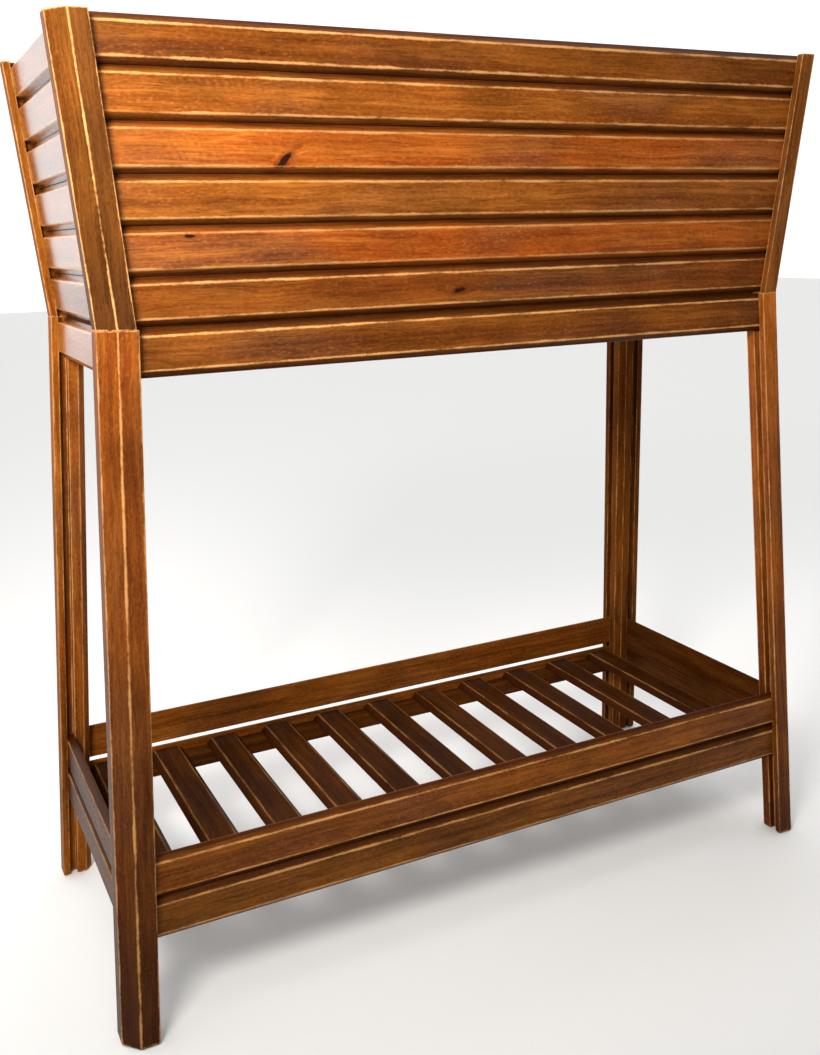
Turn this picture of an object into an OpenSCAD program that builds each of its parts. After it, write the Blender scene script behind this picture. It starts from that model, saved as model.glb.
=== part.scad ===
// Raised trough planter bench: six-board flared trough on a splayed stand with a slatted shelf tray.
// Origin: centre of the footprint, on the floor. X runs along the length, Y front to back, Z up.

/* [Overall] */
// Overall height to the tops of the corner posts, mm
height = 900; // [800:5:1000]
// Length across the post tops, mm
top_length = 796; // [740:2:900]
// Depth across the post tops, mm
top_depth = 300; // [270:2:360]
// Length at the waist, where the trough sits on the stand, mm
waist_length = 756; // [660:2:796]
// Depth at the waist, mm
waist_depth = 276; // [240:2:300]
// Length across the feet, mm
foot_length = 842; // [760:2:960]
// Depth across the feet, mm
foot_depth = 358; // [300:2:420]

/* [Boards] */
// Width of every V-edged board, mm
board_width = 41; // [34:0.2:49.2]
// Thickness of every V-edged board, mm
board_thickness = 8; // [6.5:0.5:9.5]
// Run of the slope planed along both long edges of a board's face, mm
board_chamfer = 6; // [2:0.5:6]
// Amount planed off the upper edge of the topmost boards to bring them level with the posts, mm
top_trim = 3.5; // [0:0.5:8]
// Gap between the apron and the lowest trough boards, mm
waist_gap = 1; // [0.5:0.5:5]

/* [Posts and legs] */
// Width of the square stick a trough post is planed from, mm
post_width = 31; // [29:0.5:37]
// Width of the square stick a stand leg is planed from, mm
leg_width = 33.5; // [31:0.5:40]
// Run of the broad flat planed off the outer corner, mm
outer_flat_run = 15; // [10:0.5:17]
// Run of the small flat planed off the inner corner, mm
inner_flat_run = 7; // [4:0.5:8]
// Wood left outside the board groove, mm
groove_lip = 7.5; // [5:0.5:9]
// Depth of the board groove, mm
groove_depth = 8; // [5:0.5:9]
// Free play across and along a board in its groove, mm
groove_play = 0.3; // [0.1:0.1:0.6]
// Height of the post tops above the topmost boards, mm
post_rise = 0.5; // [0.5:0.5:10]

/* [Shelf] */
// Height of the underside of the front and end shelf rails, mm
shelf_height = 100; // [80:0.5:200]
// Gap between the lower and upper shelf rails, mm
rail_gap = 0.5; // [0.5:0.5:6]
// Gap between the two rear shelf rails, mm
rear_rail_gap = 5; // [1:0.5:8]
// Depth of the slat tops below the top edge of the lower rails, mm
slat_drop = 9.5; // [4:0.5:14]
// Space between the end slats and the legs, mm
slat_end_gap = 1.4; // [0.5:0.1:10]

/* [Hidden inside] */
// Height of the strips that carry the shelf slats and the trough floor, mm
ledger_height = 20; // [8:0.5:22]
// Depth of those strips from their wall, mm
ledger_depth = 16; // [8:0.5:20]
// Reach of the trough floor strips below the waist, closing its joint from behind, mm
ledger_drop = 8; // [2:0.5:12]
// Spacing of the trough floor slats, mm
floor_pitch = 54; // [50:1:64]
// Diameter of the dowels between posts and legs, mm
dowel_diameter = 8; // [6:0.5:10]
// Length of those dowels, mm
dowel_length = 40; // [30:2:50]

/* [Hidden] */

$fn = 48;
stain = [0.36, 0.16, 0.07];
bare_wood = [0.72, 0.55, 0.36];
boards_high = 6;
slat_count = 11;
fit_gap = 0.5;
dowel_end_gap = 1;
floor_rise = 4;
far = 2000;

trough_height = waist_gap + boards_high * board_width - top_trim + post_rise;
waist_height = height - trough_height;

// Lean of a frame: outward tilt going up of its end walls, then of its long walls
post_lean = [
    atan((top_length - waist_length) / 2 / trough_height),
    atan((top_depth - waist_depth) / 2 / trough_height)
];
leg_lean = [
    -atan((foot_length - waist_length) / 2 / waist_height),
    -atan((foot_depth - waist_depth) / 2 / waist_height)
];

// Both rails of the shelf and the slats between them
rail_height = board_width * cos(leg_lean[1]);
upper_rail_height = shelf_height + rail_height + rail_gap;
slat_top = shelf_height + rail_height - slat_drop;
slat_bottom = slat_top - board_thickness;
wall_inset = groove_lip + board_thickness;
shelf_half_length = waist_length / 2 - (slat_top - waist_height) * tan(-leg_lean[0]);
shelf_half_depth = waist_depth / 2 - (slat_top - waist_height) * tan(-leg_lean[1]);
slat_pitch = (shelf_half_length - leg_width - slat_end_gap - board_width / 2) / ((slat_count - 1) / 2);

// Trough floor
floor_bottom = waist_height + floor_rise + ledger_height;
floor_half_depth = waist_depth / 2 + (floor_bottom - waist_height) * tan(post_lean[1]);
floor_side_count = floor((waist_length / 2 - post_width - fit_gap - board_width / 2) / floor_pitch);

// Dowels stand midway between the broad flat at the waist and the groove floor at their upper tips
steepest_lean = max(post_lean[0], post_lean[1]);
dowel_reach = dowel_length / 2 + dowel_end_gap;
dowel_nearest = (outer_flat_run + dowel_diameter / sqrt(2)) / 2;
dowel_furthest = (post_width - groove_depth) / cos(steepest_lean)
    - dowel_reach * tan(steepest_lean) - dowel_diameter / 2;
dowel_inset = (dowel_nearest + dowel_furthest) / 2;

function is_end(wall) = wall == "left" || wall == "right";
function wall_turn(wall) = wall == "front" ? 0 : wall == "right" ? 90 : wall == "rear" ? 180 : 270;
function wall_offset(wall) = is_end(wall) ? waist_length / 2 : waist_depth / 2;
function wall_half_run(wall) = is_end(wall) ? waist_depth / 2 : waist_length / 2;
function wall_tilt(wall, lean) = is_end(wall) ? lean[0] : lean[1];
function side_tilt(wall, lean) = is_end(wall) ? lean[1] : lean[0];

// Point of a corner section, given its distances in from the end face and from the long face
function section_point(from_end, from_long, angle) =
    [(from_end + from_long * cos(angle)) / sin(angle), from_long];

// Children drawn with X along the wall, Y into the frame and Z up the wall's slope from the waist
module on_wall(wall, lean) {
    rotate([0, 0, wall_turn(wall)])
        translate([0, -wall_offset(wall), waist_height])
            rotate([wall_tilt(wall, lean), 0, 0])
                children();
}

module to_corner(corner) {
    if (corner == "front_left") children();
    if (corner == "front_right") mirror([1, 0, 0]) children();
    if (corner == "rear_left") mirror([0, 1, 0]) children();
    if (corner == "rear_right") rotate([0, 0, 180]) children();
}

module level_slab(bottom, top) {
    translate([-far / 2, -far / 2, bottom])
        cube([far, far, top - bottom]);
}

// Section of a V-edged board standing on edge: face at Y 0, both face edges sloped
module board_section(width) {
    polygon([
        [0, board_chamfer],
        [0, width - board_chamfer],
        [board_chamfer, width],
        [board_thickness, width],
        [board_thickness, 0],
        [board_chamfer, 0]
    ]);
}

// Board in a wall, its ends cut to the lean of the corners and seated in both grooves
module wall_board(wall, lean, bottom, width, stick) {
    rise = cos(wall_tilt(wall, lean)) * tan(side_tilt(wall, lean));
    end_inset = (stick - groove_depth + groove_play) / cos(side_tilt(wall, lean));
    low_half = wall_half_run(wall) + bottom * rise - end_inset;
    high_half = wall_half_run(wall) + (bottom + width) * rise - end_inset;
    color(stain)
        on_wall(wall, lean)
            translate([0, groove_lip, bottom])
                intersection() {
                    rotate([90, 0, 90])
                        linear_extrude(height = far, center = true)
                            board_section(width);
                    translate([0, board_thickness, 0])
                        rotate([90, 0, 0])
                            linear_extrude(height = board_thickness)
                                polygon([
                                    [-low_half, 0],
                                    [low_half, 0],
                                    [high_half, width],
                                    [-high_half, width]
                                ]);
                }
}

module trough_board(wall, row) {
    width = row == boards_high ? board_width - top_trim : board_width;
    wall_board(wall, post_lean, waist_gap + (row - 1) * board_width, width, post_width);
}

module apron(wall) {
    wall_board(wall, leg_lean, -board_width, board_width, leg_width);
}

module shelf_rail(wall, bottom_height) {
    bottom = (bottom_height - waist_height) / cos(wall_tilt(wall, leg_lean));
    wall_board(wall, leg_lean, bottom, board_width, leg_width);
}

// Square stick with a broad outer flat, a small inner flat and a board groove in both inner faces
module corner_section(stick, angle) {
    groove_end = groove_lip + board_thickness + groove_play;
    groove_floor = stick - groove_depth;
    polygon([
        section_point(outer_flat_run, 0, angle),
        section_point(stick, 0, angle),
        section_point(stick, groove_lip, angle),
        section_point(groove_floor, groove_lip, angle),
        section_point(groove_floor, groove_end, angle),
        section_point(stick, groove_end, angle),
        section_point(stick, stick - inner_flat_run, angle),
        section_point(stick - inner_flat_run, stick, angle),
        section_point(groove_end, stick, angle),
        section_point(groove_end, groove_floor, angle),
        section_point(groove_lip, groove_floor, angle),
        section_point(groove_lip, stick, angle),
        section_point(0, stick, angle),
        section_point(0, outer_flat_run, angle)
    ]);
}

// Leaning corner stick of the front left corner, cut level at both ends
module corner_stick(stick, lean, bottom, top) {
    corner_angle = acos(-sin(lean[0]) * sin(lean[1]));
    intersection() {
        translate([-waist_length / 2, -waist_depth / 2, waist_height])
            rotate([lean[1], 0, 0])
                rotate([0, -atan(tan(lean[0]) * cos(lean[1])), 0])
                    linear_extrude(height = far, center = true)
                        corner_section(stick, corner_angle);
        level_slab(bottom, top);
    }
}

module dowel(extra) {
    translate([-waist_length / 2 + dowel_inset, -waist_depth / 2 + dowel_inset, waist_height - dowel_length / 2])
        cylinder(h = dowel_length + extra, d = dowel_diameter);
}

module dowel_hole() {
    dowel(dowel_end_gap);
}

module post(corner) {
    color(stain)
        to_corner(corner)
            difference() {
                corner_stick(post_width, post_lean, waist_height, height);
                dowel_hole();
            }
}

module leg(corner) {
    color(stain)
        to_corner(corner)
            difference() {
                corner_stick(leg_width, leg_lean, 0, waist_height);
                dowel_hole();
            }
}

// V-edged board lying face up, running front to back
module flat_board(middle_x, half_length, bottom) {
    translate([middle_x - board_width / 2, half_length, bottom + board_thickness])
        rotate([90, 0, 0])
            linear_extrude(height = 2 * half_length)
                rotate([0, 0, -90])
                    board_section(board_width);
}

module shelf_slat(number) {
    color(stain)
        flat_board(
            (number - (slat_count + 1) / 2) * slat_pitch,
            shelf_half_depth - wall_inset - fit_gap,
            slat_bottom
        );
}

// Level-topped strip along the inside of a wall
module ledger(wall, lean, bottom, top, half_length) {
    color(bare_wood)
        intersection() {
            on_wall(wall, lean)
                translate([-half_length, wall_inset, -far / 2])
                    cube([2 * half_length, ledger_depth, far]);
            level_slab(bottom, top);
        }
}

module shelf_ledgers() {
    for (wall = ["front", "rear"])
        ledger(wall, leg_lean, slat_bottom - ledger_height, slat_bottom, shelf_half_length - leg_width - fit_gap);
}

// Two long strips between the corners, and a short one across each end between them
module floor_ledgers() {
    bottom = waist_height - ledger_drop;
    corner_reach = max(post_width, leg_width);
    end_reach = max(corner_reach, wall_inset + ledger_depth + fit_gap);
    for (wall = ["front", "rear"])
        ledger(wall, post_lean, bottom, floor_bottom, waist_length / 2 - corner_reach - fit_gap);
    for (wall = ["left", "right"])
        ledger(wall, post_lean, bottom, floor_bottom, waist_depth / 2 - end_reach - fit_gap);
}

module trough_floor_slats() {
    color(bare_wood)
        for (place = [-floor_side_count : floor_side_count])
            flat_board(place * floor_pitch, floor_half_depth - wall_inset - fit_gap, floor_bottom);
}

module corner_dowels() {
    color(bare_wood)
        for (corner = ["front_left", "front_right", "rear_left", "rear_right"])
            to_corner(corner)
                dowel(0);
}

trough_board("front", 1);  // front_board_1
trough_board("front", 2);  // front_board_2
trough_board("front", 3);  // front_board_3
trough_board("front", 4);  // front_board_4
trough_board("front", 5);  // front_board_5
trough_board("front", 6);  // front_board_6
trough_board("rear", 1);  // rear_board_1
trough_board("rear", 2);  // rear_board_2
trough_board("rear", 3);  // rear_board_3
trough_board("rear", 4);  // rear_board_4
trough_board("rear", 5);  // rear_board_5
trough_board("rear", 6);  // rear_board_6
trough_board("left", 1);  // left_board_1
trough_board("left", 2);  // left_board_2
trough_board("left", 3);  // left_board_3
trough_board("left", 4);  // left_board_4
trough_board("left", 5);  // left_board_5
trough_board("left", 6);  // left_board_6
trough_board("right", 1);  // right_board_1
trough_board("right", 2);  // right_board_2
trough_board("right", 3);  // right_board_3
trough_board("right", 4);  // right_board_4
trough_board("right", 5);  // right_board_5
trough_board("right", 6);  // right_board_6
post("front_left");  // front_left_post
post("front_right");  // front_right_post
post("rear_left");  // rear_left_post
post("rear_right");  // rear_right_post
leg("front_left");  // front_left_leg
leg("front_right");  // front_right_leg
leg("rear_left");  // rear_left_leg
leg("rear_right");  // rear_right_leg
apron("front");  // front_apron
apron("rear");  // rear_apron
apron("left");  // left_apron
apron("right");  // right_apron
shelf_rail("front", upper_rail_height);  // front_upper_rail
shelf_rail("rear", upper_rail_height);  // rear_upper_rail
shelf_rail("left", upper_rail_height);  // left_upper_rail
shelf_rail("right", upper_rail_height);  // right_upper_rail
shelf_rail("front", shelf_height);  // front_lower_rail
shelf_rail("rear", shelf_height + rail_gap - rear_rail_gap);  // rear_lower_rail
shelf_rail("left", shelf_height);  // left_lower_rail
shelf_rail("right", shelf_height);  // right_lower_rail
shelf_slat(1);  // shelf_slat_1
shelf_slat(2);  // shelf_slat_2
shelf_slat(3);  // shelf_slat_3
shelf_slat(4);  // shelf_slat_4
shelf_slat(5);  // shelf_slat_5
shelf_slat(6);  // shelf_slat_6
shelf_slat(7);  // shelf_slat_7
shelf_slat(8);  // shelf_slat_8
shelf_slat(9);  // shelf_slat_9
shelf_slat(10);  // shelf_slat_10
shelf_slat(11);  // shelf_slat_11
shelf_ledgers();
floor_ledgers();
trough_floor_slats();
corner_dowels();
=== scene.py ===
import bpy, math, random
from mathutils import Vector, Matrix


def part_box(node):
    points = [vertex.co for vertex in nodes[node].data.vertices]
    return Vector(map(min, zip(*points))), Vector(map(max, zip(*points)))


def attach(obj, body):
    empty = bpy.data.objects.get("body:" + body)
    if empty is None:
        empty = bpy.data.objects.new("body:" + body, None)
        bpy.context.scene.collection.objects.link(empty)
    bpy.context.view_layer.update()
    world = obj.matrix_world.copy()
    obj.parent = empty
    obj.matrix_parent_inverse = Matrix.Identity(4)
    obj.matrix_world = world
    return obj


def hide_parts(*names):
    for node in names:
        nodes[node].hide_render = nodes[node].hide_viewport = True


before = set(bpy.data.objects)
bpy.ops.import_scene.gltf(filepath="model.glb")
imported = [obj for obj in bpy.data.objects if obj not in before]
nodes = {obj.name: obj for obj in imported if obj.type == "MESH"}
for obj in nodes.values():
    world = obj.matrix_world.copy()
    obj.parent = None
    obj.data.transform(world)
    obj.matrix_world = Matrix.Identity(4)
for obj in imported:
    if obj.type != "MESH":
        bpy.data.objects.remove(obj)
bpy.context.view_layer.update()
alongX, alongY, upright = Vector((1, 0, 0)), Vector((0, 1, 0)), Vector((0, 0, 1))
waistHeight = 0.656     # where the posts meet the legs, in metres
# metres and degrees
shaping = {"mergeGap": 0.00015, "flatAngle": 0.3, "sharpAngle": 40, "arrisSegments": 3,
           "narrowFlat": 0.0045, "narrowShare": 0.3, "smallestFlat": 0.0001}
# how far below the board's face rubbing stops, and shade deepens and stops
sinking = {"rubbedTo": 0.0025, "shadeFull": 0.0035, "shadedTo": 0.0068}
borderWear = 0.72
farFromKnot = (9.0, 9.0, 0.0)
print("frame loaded:", len(nodes), "nodes")


# small helpers for working on one piece at a time

def pickOnly(piece):
    bpy.ops.object.select_all(action="DESELECT")
    piece.select_set(True)
    bpy.context.view_layer.objects.active = piece


def openCopy(nodeName, pieceName):
    # a clean solid copy of a CAD node: merged, and its triangles joined into flat faces
    pickOnly(nodes[nodeName])
    bpy.ops.object.duplicate()
    piece = bpy.context.object
    piece.name = pieceName
    piece.parent = None
    for key in list(piece.keys()):
        del piece[key]
    piece.data.materials.clear()
    piece.data.materials.append(None)
    piece.data.materials.append(None)   # the second slot marks eased arrises while shaping
    for face in piece.data.polygons:
        face.material_index = 0
    bpy.ops.object.mode_set(mode="EDIT")
    bpy.ops.mesh.select_mode(type="EDGE")
    bpy.ops.mesh.select_all(action="SELECT")
    bpy.ops.mesh.remove_doubles(threshold=shaping["mergeGap"])
    bpy.ops.mesh.dissolve_limited(angle_limit=math.radians(shaping["flatAngle"]))
    bpy.ops.mesh.select_all(action="DESELECT")
    bpy.ops.object.mode_set(mode="OBJECT")
    return piece


def clearPicks(mesh):
    for group in (mesh.vertices, mesh.edges, mesh.polygons):
        for part in group:
            part.select = False


def pickEdges(piece, wanted):
    mesh = piece.data
    clearPicks(mesh)
    for edge in mesh.edges:
        first, second = (mesh.vertices[i] for i in edge.vertices)
        if wanted(first.co, second.co):
            edge.select = first.select = second.select = True


def bevelPicked(width, segments, slot=-1):
    bpy.ops.object.mode_set(mode="EDIT")
    bpy.ops.mesh.select_mode(type="EDGE")
    bpy.ops.mesh.bevel(offset=width, offset_type="OFFSET", segments=segments, profile=0.5,
                       affect="EDGES", material=slot, clamp_overlap=True, loop_slide=False)
    bpy.ops.mesh.select_all(action="DESELECT")
    bpy.ops.object.mode_set(mode="OBJECT")


def easeArrises(piece, width):
    bpy.ops.object.mode_set(mode="EDIT")
    bpy.ops.mesh.select_mode(type="EDGE")
    bpy.ops.mesh.select_all(action="DESELECT")
    bpy.ops.mesh.edges_select_sharp(sharpness=math.radians(shaping["sharpAngle"]))
    bpy.ops.object.mode_set(mode="OBJECT")
    bevelPicked(width, shaping["arrisSegments"], 1)


def narrowWidth(piece, face):
    # the smaller size of a long face
    points = [piece.data.vertices[i].co for i in face.vertices]
    around = sum((points[i] - points[i - 1]).length for i in range(len(points)))
    return 2 * face.area / around


def insetFlats(piece, fade):
    # a narrow rim inside each flat, where rubbing fades out
    limit = shaping["narrowFlat"]
    for narrow, wide, share in ((0.0, limit, shaping["narrowShare"]), (limit, 1.0, 0.0)):
        mesh = piece.data
        clearPicks(mesh)
        widths = []
        for face in mesh.polygons:
            width = narrowWidth(piece, face)
            bigEnough = face.area > shaping["smallestFlat"]
            if face.material_index == 0 and narrow <= width < wide and bigEnough:
                face.select = True
                widths.append(width)
        if not widths:
            continue
        bpy.ops.object.mode_set(mode="EDIT")
        bpy.ops.mesh.select_mode(type="FACE")
        bpy.ops.mesh.inset(thickness=min(widths) * share if share else fade, use_individual=True)
        bpy.ops.mesh.select_all(action="DESELECT")
        bpy.ops.object.mode_set(mode="OBJECT")


def layGrain(piece, along, across, look, face=None):
    # stores where each point lies in its own stick of timber, how worn it is, the stick's tone with its
    # painted shade by height, and the painted shade in the grooves
    mesh = piece.data
    luck = random.Random(piece.name)
    shift = Vector([luck.uniform(-40, 40) for _ in range(3)])
    depth = along.cross(across).normalized()
    onArris, onFlat = set(), set()
    for polygon in mesh.polygons:
        (onArris if polygon.material_index else onFlat).update(polygon.vertices)
        polygon.material_index = 0
    knotX, knotY, knotTurn, knotSize = look.get("knot", (0, 0, 0, 0))
    turn = math.radians(knotTurn)
    grain, knotSpace, wear, tones, shade = [], [], [], [], []
    for vertex in mesh.vertices:
        i = vertex.index
        local = Vector((vertex.co.dot(along), vertex.co.dot(across), vertex.co.dot(depth)))
        grain.extend(local + shift)
        if knotSize:
            u, v = local.x - knotX, local.y - knotY
            knotSpace.extend(((u * math.cos(turn) + v * math.sin(turn)) / knotSize,
                              (v * math.cos(turn) - u * math.sin(turn)) / knotSize, 0.0))
        else:
            knotSpace.extend(farFromKnot)
        sunk = (face[0] - vertex.co).dot(face[1]) if face else 0.0
        if i not in onArris or sunk > sinking["rubbedTo"]:
            wear.append(0.0)
        else:
            wear.append(look.get("border", borderWear) if i in onFlat else 1.0)
        # painted shade: a stick with a fade is drawn darker below the waist and lighter above it
        paintedHeightShade = look.get("fade", 0.0) * (vertex.co.z / waistHeight - 1.0)
        tones.extend((look["light"] + paintedHeightShade, look["red"], look["rub"]))
        # painted shade: points sunk below the board's face get darker towards the bottom of the groove
        darkness = max(0.0, min(1.0, sunk / sinking["shadeFull"]))
        shade.append(darkness if sunk < sinking["shadedTo"] else 0.0)
    for name, kind, values, key in (("grainPlace", "FLOAT_VECTOR", grain, "vector"),
                                    ("knotPlace", "FLOAT_VECTOR", knotSpace, "vector"),
                                    ("arrisWear", "FLOAT", wear, "value"),
                                    ("grooveShade", "FLOAT", shade, "value"),
                                    ("stickTone", "FLOAT_VECTOR", tones, "vector")):
        layer = mesh.attributes.new(name=name, type=kind, domain="POINT")
        layer.data.foreach_set(key, values)


def finishPiece(piece, nodeName, material):
    pickOnly(piece)
    piece.data.materials.clear()
    piece.data.materials.append(material)
    bpy.ops.object.shade_smooth()
    weighted = piece.modifiers.new("flatFaces", "WEIGHTED_NORMAL")
    weighted.weight = 100
    bpy.ops.object.modifier_apply(modifier=weighted.name)
    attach(piece, "root")
    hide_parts(nodeName)


# materials

def addNode(tree, kind, place, **settings):
    node = tree.nodes.new(kind)
    node.location = place
    for key, value in settings.items():
        setattr(node, key, value)
    return node


def feed(tree, socket, value):
    # a socket takes either a link or a plain value
    if isinstance(value, bpy.types.NodeSocket):
        tree.links.new(value, socket)
    elif isinstance(value, tuple) and len(socket.default_value) == 4:
        socket.default_value = (*value, 1.0)
    else:
        socket.default_value = value


def mixColours(tree, place, factor, first, second):
    mix = addNode(tree, "ShaderNodeMix", place, data_type="RGBA", blend_type="MIX")
    for index, value in ((0, factor), (6, first), (7, second)):
        feed(tree, mix.inputs[index], value)
    return mix.outputs[2]


def doMath(tree, place, operation, first, second=0.0):
    node = addNode(tree, "ShaderNodeMath", place, operation=operation)
    feed(tree, node.inputs[0], first)
    feed(tree, node.inputs[1], second)
    return node.outputs[0]


def stretched(tree, place, source, scale):
    mapping = addNode(tree, "ShaderNodeMapping", place)
    mapping.inputs["Scale"].default_value = scale
    tree.links.new(source, mapping.inputs["Vector"])
    return mapping.outputs["Vector"]


def grainNoise(tree, place, source, scale, detail, roughness):
    # features are about one over the scale, in metres, along and across the grain
    noise = addNode(tree, "ShaderNodeTexNoise", place)
    settings = {"Scale": 1.0, "Detail": detail, "Roughness": roughness, "Distortion": 0.0}
    for key, number in settings.items():
        noise.inputs[key].default_value = number
    scaled = stretched(tree, (place[0] - 180, place[1]), source, scale)
    tree.links.new(scaled, noise.inputs["Vector"])
    return noise.outputs["Fac"]


def spread(tree, place, value, low, high, toLow=0.0, toHigh=1.0):
    remap = addNode(tree, "ShaderNodeMapRange", place, clamp=True)
    for key, number in zip(("From Min", "From Max", "To Min", "To Max"), (low, high, toLow, toHigh)):
        remap.inputs[key].default_value = number
    tree.links.new(value, remap.inputs["Value"])
    return remap.outputs["Result"]


stainLook = {
    "deep": (0.036, 0.008, 0.0018),     # late wood, and the painted shade in the grooves
    "body": (0.190, 0.048, 0.0050),     # the stain itself
    "glow": (0.365, 0.122, 0.0170),     # early wood where the stain is thin
    "olive": (0.155, 0.058, 0.0085),    # green-brown sticks
    "plum": (0.145, 0.044, 0.0150),     # patches that took the stain cooler
    "red": (0.260, 0.048, 0.0045),      # red sticks
    "rubbed": (0.620, 0.310, 0.1050),   # bare wood on rubbed arrises
    "knot": (0.020, 0.005, 0.0020),
    "gloss": 0.30,
    "coat": 0.02,
    "shine": 0.05,
    "grainDepth": 0.00030,
}


def stainedTimber(name, look):
    material = bpy.data.materials.new(name)
    material.use_nodes = True
    tree = material.node_tree
    tree.nodes.clear()
    link = tree.links.new
    out = addNode(tree, "ShaderNodeOutputMaterial", (2300, 0))
    shader = addNode(tree, "ShaderNodeBsdfPrincipled", (2000, 0))
    link(shader.outputs["BSDF"], out.inputs["Surface"])

    def attribute(place, attributeName, output):
        return addNode(tree, "ShaderNodeAttribute", place, attribute_name=attributeName).outputs[output]

    grain = attribute((-2000, 200), "grainPlace", "Vector")
    knotPlace = attribute((-2000, -500), "knotPlace", "Vector")
    wear = attribute((-2000, -900), "arrisWear", "Fac")
    sunk = attribute((-2000, -1050), "grooveShade", "Fac")
    toneParts = addNode(tree, "ShaderNodeSeparateXYZ", (-1800, -1200))
    link(attribute((-2000, -1200), "stickTone", "Vector"), toneParts.inputs["Vector"])
    lightness, redness, rubbing = (toneParts.outputs[axis] for axis in "XYZ")

    # knot: a sliver drawn out along its own line
    knotLength = addNode(tree, "ShaderNodeVectorMath", (-1600, -500), operation="LENGTH")
    link(stretched(tree, (-1800, -500), knotPlace, (1.0, 3.0, 0.0)), knotLength.inputs[0])
    knotDistance = knotLength.outputs["Value"]

    # the growth rings wander, and bend round the knot
    wander = addNode(tree, "ShaderNodeTexNoise", (-1600, 500))
    wander.inputs["Scale"].default_value = 1.0
    wander.inputs["Detail"].default_value = 2.0
    link(stretched(tree, (-1780, 500), grain, (9.0, 22.0, 22.0)), wander.inputs["Vector"])
    bend = addNode(tree, "ShaderNodeVectorMath", (-1400, 400), operation="MULTIPLY_ADD")
    bend.inputs[1].default_value = (0.0, 0.012, 0.012)
    link(wander.outputs["Color"], bend.inputs[0])
    link(grain, bend.inputs[2])
    knotPush = addNode(tree, "ShaderNodeVectorMath", (-1400, 200), operation="SCALE")
    knotPush.inputs[0].default_value = (0.0, 0.007, 0.004)
    link(spread(tree, (-1600, 200), knotDistance, 0.0, 3.5, 1.0, 0.0), knotPush.inputs["Scale"])
    bent = addNode(tree, "ShaderNodeVectorMath", (-1200, 300), operation="ADD")
    link(bend.outputs["Vector"], bent.inputs[0])
    link(knotPush.outputs["Vector"], bent.inputs[1])
    wood = bent.outputs["Vector"]

    bands = grainNoise(tree, (-800, 700), wood, (2.6, 75.0, 75.0), 3.0, 0.55)
    lines = grainNoise(tree, (-800, 400), wood, (7.0, 330.0, 330.0), 3.0, 0.6)
    fibres = grainNoise(tree, (-800, 100), grain, (70.0, 1100.0, 1100.0), 2.0, 0.6)
    flecks = grainNoise(tree, (-800, -200), grain, (230.0, 520.0, 520.0), 3.0, 0.65)
    clouds = grainNoise(tree, (-800, -500), grain, (13.0, 34.0, 34.0), 3.0, 0.55)
    patches = grainNoise(tree, (-800, -800), grain, (5.0, 14.0, 14.0), 1.0, 0.5)

    # ripple: short slanting waves that come and go, as on curly wood
    ripple = addNode(tree, "ShaderNodeTexWave", (-800, -1100), wave_type="BANDS",
                     bands_direction="DIAGONAL")
    for key, number in (("Scale", 95.0), ("Distortion", 6.0), ("Detail", 2.0), ("Detail Scale", 1.4)):
        ripple.inputs[key].default_value = number
    link(stretched(tree, (-980, -1100), grain, (1.0, 0.45, 0.45)), ripple.inputs["Vector"])
    rippleWhere = grainNoise(tree, (-800, -1400), grain, (9.0, 60.0, 60.0), 2.0, 0.5)
    rippled = doMath(tree, (-400, -1200), "MULTIPLY", ripple.outputs["Fac"],
                     spread(tree, (-600, -1300), rippleWhere, 0.58, 0.76))

    # a thin wavy light line where a growth ring breaks the surface
    ring = doMath(tree, (-600, 900), "ABSOLUTE", doMath(tree, (-780, 900), "SUBTRACT", bands, 0.53))
    ringLine = spread(tree, (-400, 900), ring, 0.020, 0.004)

    # stain colour: the stick's own tone, cooler patches, glowing early wood, darker late wood
    colour = look["body"]
    for x, y, part, start, full, amount, stain in ((-400, -300, redness, 0.0, 1.0, 1.0, "red"),
                                                   (-200, -450, redness, 0.0, -1.0, 1.0, "olive"),
                                                   (0, -600, patches, 0.50, 0.68, 0.85, "plum")):
        factor = spread(tree, (-600, y), part, start, full, 0.0, amount)
        colour = mixColours(tree, (x, -300), factor, colour, look[stain])
    for x, y, part, start, full, amount, stain in ((0, 600, bands, 0.40, 0.72, 0.42, "glow"),
                                                   (200, 450, bands, 0.45, 0.28, 0.30, "deep"),
                                                   (400, 300, lines, 0.52, 0.32, 0.42, "deep"),
                                                   (600, 150, lines, 0.55, 0.75, 0.35, "glow"),
                                                   (800, 0, fibres, 0.45, 0.25, 0.50, "deep"),
                                                   (900, -100, flecks, 0.54, 0.74, 0.55, "glow"),
                                                   (1000, -200, flecks, 0.46, 0.28, 0.40, "deep")):
        factor = spread(tree, (-300, y), part, start, full, 0.0, amount)
        colour = mixColours(tree, (x, 100), factor, colour, look[stain])
    for x, y, streak in ((1100, -300, rippled), (1200, -450, ringLine)):
        factor = doMath(tree, (500, y), "MULTIPLY", streak, 0.35)
        colour = mixColours(tree, (x, 100), factor, colour, look["glow"])
    bright = addNode(tree, "ShaderNodeHueSaturation", (1350, 100))
    link(colour, bright.inputs["Color"])
    # lightness carries the stick's own tone and its painted shade by height
    toneValue = spread(tree, (900, -300), lightness, -1.15, 1.15, 0.14, 1.86)
    cloudValue = spread(tree, (900, -450), clouds, 0.30, 0.70, 0.72, 1.28)
    link(doMath(tree, (1150, -350), "MULTIPLY", toneValue, cloudValue), bright.inputs["Value"])
    colour = bright.outputs["Color"]

    # painted shade in the grooves between boards, darker the further a point sits below the face
    patchy = spread(tree, (1150, -600), lines, 0.3, 0.7, 0.92, 0.68)
    paintedGrooveShade = doMath(tree, (1300, -500), "MULTIPLY", sunk, patchy)
    colour = mixColours(tree, (1500, 100), paintedGrooveShade, colour, look["deep"])

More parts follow.
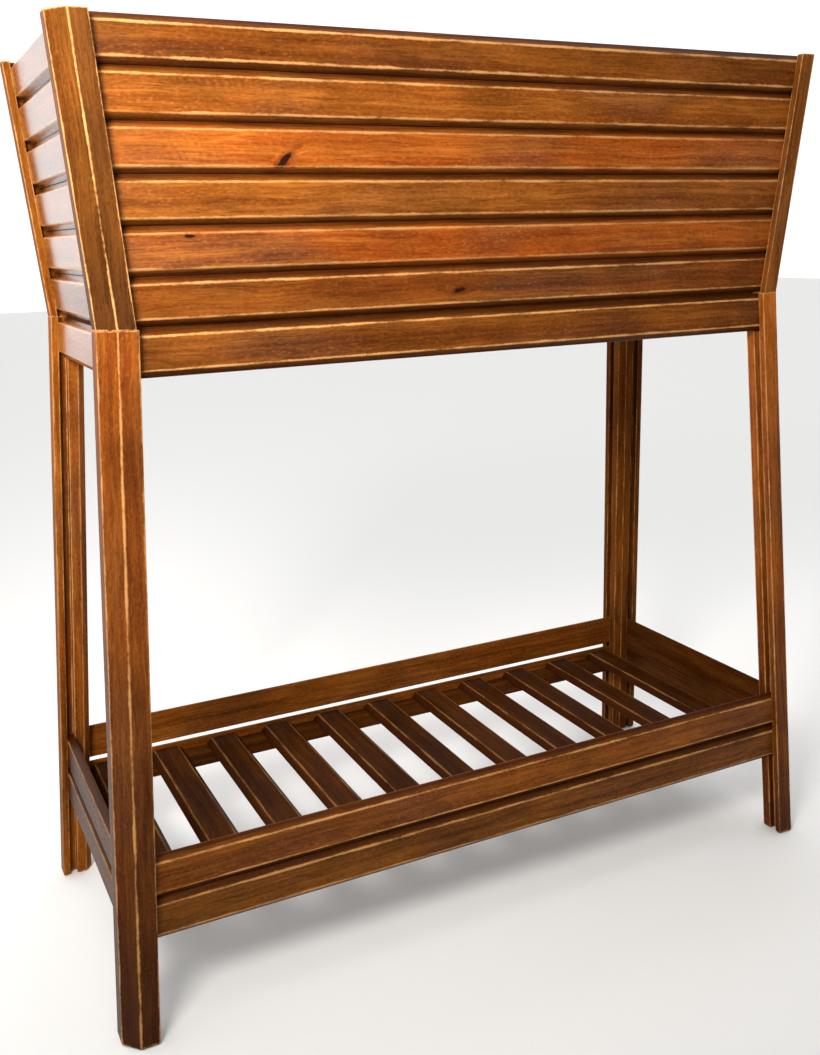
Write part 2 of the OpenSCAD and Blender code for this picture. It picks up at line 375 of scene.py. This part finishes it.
    # knots, with a darker heart and a halo
    uneven = spread(tree, (700, -800), flecks, 0.3, 0.7, -0.18, 0.18)
    ragged = doMath(tree, (900, -800), "ADD", knotDistance, uneven)
    halo = spread(tree, (1100, -750), knotDistance, 2.4, 0.9, 0.0, 0.55)
    colour = mixColours(tree, (1600, 100), halo, colour, look["deep"])
    colour = mixColours(tree, (1700, 100), spread(tree, (1100, -900), ragged, 1.10, 0.85),
                        colour, look["knot"])

    # rubbed arrises: the finish is sanded through, broken up along the length
    breaks = grainNoise(tree, (400, -1100), grain, (26.0, 120.0, 120.0), 4.0, 0.65)
    nibbles = grainNoise(tree, (400, -1350), grain, (260.0, 500.0, 500.0), 2.0, 0.6)
    gaps = spread(tree, (600, -1100), breaks, 0.32, 0.66, -0.55, 0.22)
    teeth = spread(tree, (600, -1350), nibbles, 0.3, 0.7, -0.16, 0.16)
    reach = doMath(tree, (900, -1100), "ADD", doMath(tree, (750, -1100), "ADD", wear, gaps), teeth)
    bare = spread(tree, (1050, -1100), reach, 0.30, 0.95)
    rubbed = doMath(tree, (1250, -1100), "MULTIPLY", bare, rubbing)
    colour = mixColours(tree, (1800, 100), rubbed, colour, look["rubbed"])
    link(colour, shader.inputs["Base Color"])

    rough = spread(tree, (1500, -300), flecks, 0.3, 0.7, look["gloss"], look["gloss"] + 0.18)
    link(doMath(tree, (1700, -300), "ADD", rough, doMath(tree, (1500, -450), "MULTIPLY", rubbed, 0.15)),
         shader.inputs["Roughness"])
    shader.inputs["Specular IOR Level"].default_value = look["shine"]
    shader.inputs["Coat Weight"].default_value = look["coat"]
    shader.inputs["Coat Roughness"].default_value = 0.16

    height = doMath(tree, (1400, -900), "ADD", doMath(tree, (1250, -850), "MULTIPLY", fibres, 0.5),
                    doMath(tree, (1250, -950), "MULTIPLY", lines, 0.7))
    height = doMath(tree, (1550, -900), "ADD", height, doMath(tree, (1400, -1050), "MULTIPLY",
                    rippled, 0.35))
    height = doMath(tree, (1700, -900), "ADD", height, doMath(tree, (1550, -1050), "MULTIPLY",
                    flecks, 0.3))
    bump = addNode(tree, "ShaderNodeBump", (1850, -700))
    bump.inputs["Strength"].default_value = 0.6
    bump.inputs["Distance"].default_value = look["grainDepth"]
    link(height, bump.inputs["Height"])
    link(bump.outputs["Normal"], shader.inputs["Normal"])
    link(bump.outputs["Normal"], shader.inputs["Coat Normal"])
    return material


stainedWood = stainedTimber("stainedWood", stainLook)
dullStain = stainedTimber("dullStain", dict(stainLook, shine=0.01, coat=0.0))
glossStain = stainedTimber("glossStain", dict(stainLook, shine=0.5, coat=0.9, gloss=0.12))
pineLook = dict(stainLook, deep=(0.30, 0.17, 0.07), body=(0.56, 0.37, 0.18), glow=(0.70, 0.52, 0.30),
                olive=(0.50, 0.36, 0.19), plum=(0.52, 0.35, 0.20), red=(0.56, 0.36, 0.18),
                rubbed=(0.72, 0.55, 0.34), knot=(0.20, 0.09, 0.03), gloss=0.55, coat=0.0)
plainPine = stainedTimber("plainPine", pineLook)
print("materials made")


# boards: lightness, redness (minus is olive), rubbing,
# and a knot as place along, place up, slant and size

boardLooks = {
    "front_board_6": {"light": -0.33, "red": 0.10, "rub": 0.80},
    "front_board_5": {"light": 0.16, "red": 0.00, "rub": 0.70},
    "front_board_4": {"light": 0.20, "red": 0.75, "rub": 0.55, "knot": (-0.209, 0.7915, 45, 0.0085)},
    "front_board_3": {"light": -0.06, "red": -0.10, "rub": 0.60},
    "front_board_2": {"light": 0.02, "red": 0.90, "rub": 0.50, "knot": (-0.2955, 0.7307, 0, 0.0045)},
    "front_board_1": {"light": -0.38, "red": 0.35, "rub": 0.70, "knot": (-0.035, 0.6752, 10, 0.0060)},
    "front_apron": {"light": -0.42, "red": 0.00, "rub": 0.80},
    "front_upper_rail": {"light": -0.25, "red": -0.10, "rub": 0.70},
    "front_lower_rail": {"light": -0.50, "red": -0.60, "rub": 0.60},
    "rear_upper_rail": {"light": -0.15, "red": -0.10, "rub": 0.60},
    "rear_lower_rail": {"light": -0.20, "red": 0.00, "rub": 0.50},
}
boardShape = {"ease": 0.0010, "fade": 0.0013}


def makeBoard(nodeName, along, across, outward):
    luck = random.Random("tone " + nodeName)
    look = boardLooks.get(nodeName)
    if not look:
        look = {"light": luck.uniform(-0.3, 0.15), "red": luck.uniform(-0.4, 0.7),
                "rub": luck.uniform(0.5, 0.8)}
        # rails and shelf slats are set darker: partly their own tone, partly painted shade low down and
        # under the trough
        if nodeName.endswith("_rail"):
            look.update(light=luck.uniform(-0.98, -0.85), red=luck.uniform(-0.2, 0.3),
                        rub=0.4)
        if nodeName.startswith("shelf_slat"):
            look.update(light=luck.uniform(-1.10, -1.00), red=luck.uniform(-0.1, 0.4), rub=0.25)
    piece = openCopy(nodeName, "stained_" + nodeName)
    # the board's face is its largest flat that looks outward
    flats = [f for f in piece.data.polygons if f.normal.dot(outward) > 0.9]
    face = max(flats, key=lambda f: f.area)
    facePlane = (face.center.copy(), face.normal.copy())
    easeArrises(piece, boardShape["ease"])
    insetFlats(piece, boardShape["fade"])
    layGrain(piece, along, across, look, facePlane)
    material = stainedWood
    if nodeName.startswith(("left_board", "left_apron")):
        material = glossStain    # the left end takes the full shine of the varnish
    if nodeName.startswith(("shelf_slat", "right_", "rear_")):
        material = dullStain
    finishPiece(piece, nodeName, material)


outwardOf = {"front": -alongY, "rear": alongY, "left": -alongX, "right": alongX}
for nodeName in sorted(nodes):
    wall = nodeName.split("_")[0]
    if "_board_" in nodeName or nodeName.endswith(("_apron", "_rail")):
        along = alongY if wall in ("left", "right") else alongX
        makeBoard(nodeName, along, upright, outwardOf[wall])
    if nodeName.startswith("shelf_slat"):
        makeBoard(nodeName, alongY, alongX, upright)
print("boards, aprons, rails and slats eased and stained")


# posts and legs

stickShape = {"ease": 0.0010, "fade": 0.0014, "footRound": 0.0030}
# fade in these looks sets the painted shade by height
stickLooks = {
    "front_left_post": {"light": -0.95, "red": -0.30, "rub": 0.85, "fade": 1.30, "border": 0.95},
    "front_right_post": {"light": -0.20, "red": -0.20, "rub": 0.85, "border": 0.95},
    "front_left_leg": {"light": -0.30, "red": 0.45, "rub": 0.60, "fade": 0.80},
    "front_right_leg": {"light": 0.60, "red": 0.40, "rub": 0.65, "fade": 1.40},
    "rear_left_leg": {"light": 0.10, "red": 0.10, "rub": 0.60, "fade": 0.30},
    "rear_right_leg": {"light": -0.60, "red": 0.10, "rub": 0.50, "fade": 0.10},
}


def makeStick(nodeName):
    low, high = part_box(nodeName)
    piece = openCopy(nodeName, "stained_" + nodeName)
    points = [v.co.copy() for v in piece.data.vertices]
    foot = [p for p in points if p.z < low.z + 0.002]
    head = [p for p in points if p.z > high.z - 0.002]
    along = (sum(head, Vector()) / len(head) - sum(foot, Vector()) / len(foot)).normalized()
    if nodeName.endswith("_leg"):
        pickEdges(piece, lambda a, b: a.z < 0.0005 and b.z < 0.0005)
        bevelPicked(stickShape["footRound"], shaping["arrisSegments"])
    easeArrises(piece, stickShape["ease"])
    insetFlats(piece, stickShape["fade"])
    across = (alongX - along * alongX.dot(along)).normalized()
    look = stickLooks.get(nodeName, {"light": -0.2, "red": 0.0, "rub": 0.7})
    layGrain(piece, along, across, look)
    material = stainedWood if nodeName.startswith("front") else dullStain
    finishPiece(piece, nodeName, material)


for nodeName in sorted(nodes):
    if nodeName.endswith(("_post", "_leg")):
        makeStick(nodeName)
print("posts and legs shaped")


# hidden timber: trough floor, ledgers and dowels

# the ledgers are drawn dark as painted shade, so the joints they lie behind show shade
plainLook = {"light": 0.0, "red": 0.0, "rub": 0.2}
shadeDarkLedgerLook = {"light": -0.9, "red": 0.0, "rub": 0.0}
hiddenEase = 0.0006
for nodeName, along, across in (("trough_floor_slats", alongY, alongX),
                                ("floor_ledgers", alongX, upright),
                                ("shelf_ledgers", alongX, upright),
                                ("corner_dowels", upright, alongX)):
    piece = openCopy(nodeName, "plain_" + nodeName)
    if nodeName != "corner_dowels":
        easeArrises(piece, hiddenEase)
    if nodeName.endswith("_ledgers"):
        layGrain(piece, along, across, shadeDarkLedgerLook)
        finishPiece(piece, nodeName, dullStain)
    else:
        layGrain(piece, along, across, plainLook)
        finishPiece(piece, nodeName, plainPine)
print("hidden timber done")


# floor, light and camera

studio = {"floorHalf": 12.0, "brightAir": 1.20, "dimAir": 0.16, "keyWatts": 8.0, "sheenWatts": 1.2}

bpy.ops.object.select_all(action="DESELECT")
bpy.ops.mesh.primitive_plane_add(size=2 * studio["floorHalf"], location=(0, 0, 0))
floor = bpy.context.object
floor.name = "studio_floor"
floorPaint = bpy.data.materials.new("palePaper")
floorPaint.use_nodes = True
paper = floorPaint.node_tree.nodes["Principled BSDF"]
paper.inputs["Base Color"].default_value = (0.92, 0.92, 0.91, 1.0)
paper.inputs["Roughness"].default_value = 0.8
floor.data.materials.append(floorPaint)

world = bpy.data.worlds.new("studioAir")
bpy.context.scene.world = world
world.use_nodes = True
air = world.node_tree
sky = air.nodes["Background"]
sky.inputs["Color"].default_value = (1.0, 1.0, 1.0, 1.0)
direction = addNode(air, "ShaderNodeTexCoord", (-800, 0))
# bright behind and overhead, dim on the camera's side
rearUp = addNode(air, "ShaderNodeVectorMath", (-600, 0), operation="DOT_PRODUCT")
rearUp.inputs[1].default_value = (0.0, 0.75, 0.66)
air.links.new(direction.outputs["Generated"], rearUp.inputs[0])
strength = spread(air, (-400, 0), rearUp.outputs["Value"], 0.0, 0.5,
                  studio["dimAir"], studio["brightAir"])
air.links.new(strength, sky.inputs["Strength"])


def addSoftLight(name, place, target, size, watts, fan, colour=(1.0, 1.0, 1.0)):
    lamp = bpy.data.lights.new(name, "AREA")
    lamp.shape = "RECTANGLE"
    lamp.size, lamp.size_y = size
    lamp.energy = watts
    lamp.color = colour
    lamp.spread = math.radians(fan)
    holder = bpy.data.objects.new(name, lamp)
    bpy.context.scene.collection.objects.link(holder)
    holder.location = place
    holder.visible_camera = False
    holder.rotation_euler = (Vector(target) - Vector(place)).to_track_quat("-Z", "Y").to_euler()


addSoftLight("keyWindow", (-0.90, -0.85, 1.20), (-0.43, -0.15, 0.86), (0.4, 0.4),
             studio["keyWatts"], 85, (1.0, 0.96, 0.90))
addSoftLight("sheenPanel", (-0.30, -1.30, 0.95), (-0.42, -0.14, 0.80), (0.3, 0.5),
             studio["sheenWatts"], 120)

cameraSetup = {
    "place": (-0.55222, -1.03526, 0.72509),
    "right": (0.90137954, -0.43230196, -0.02509849),
    "up": (0.12976866, 0.21437128, 0.96809351),
    "forward": (0.41312833, 0.87587668, -0.24932914),
    "lens": 36.466,
    "shift": (0.02948, -0.01348),
}
lensData = bpy.data.cameras.new("viewCamera")
lensData.lens = cameraSetup["lens"]
lensData.sensor_width = 36.0
lensData.shift_x, lensData.shift_y = cameraSetup["shift"]
lensData.clip_start, lensData.clip_end = 0.05, 60.0
camera = bpy.data.objects.new("viewCamera", lensData)
bpy.context.scene.collection.objects.link(camera)
turn = Matrix((cameraSetup["right"], cameraSetup["up"], -Vector(cameraSetup["forward"]))).transposed()
camera.matrix_world = Matrix.Translation(cameraSetup["place"]) @ turn.to_4x4()
bpy.context.scene.camera = camera
bpy.context.scene.view_settings.view_transform = "Standard"
print("studio ready")
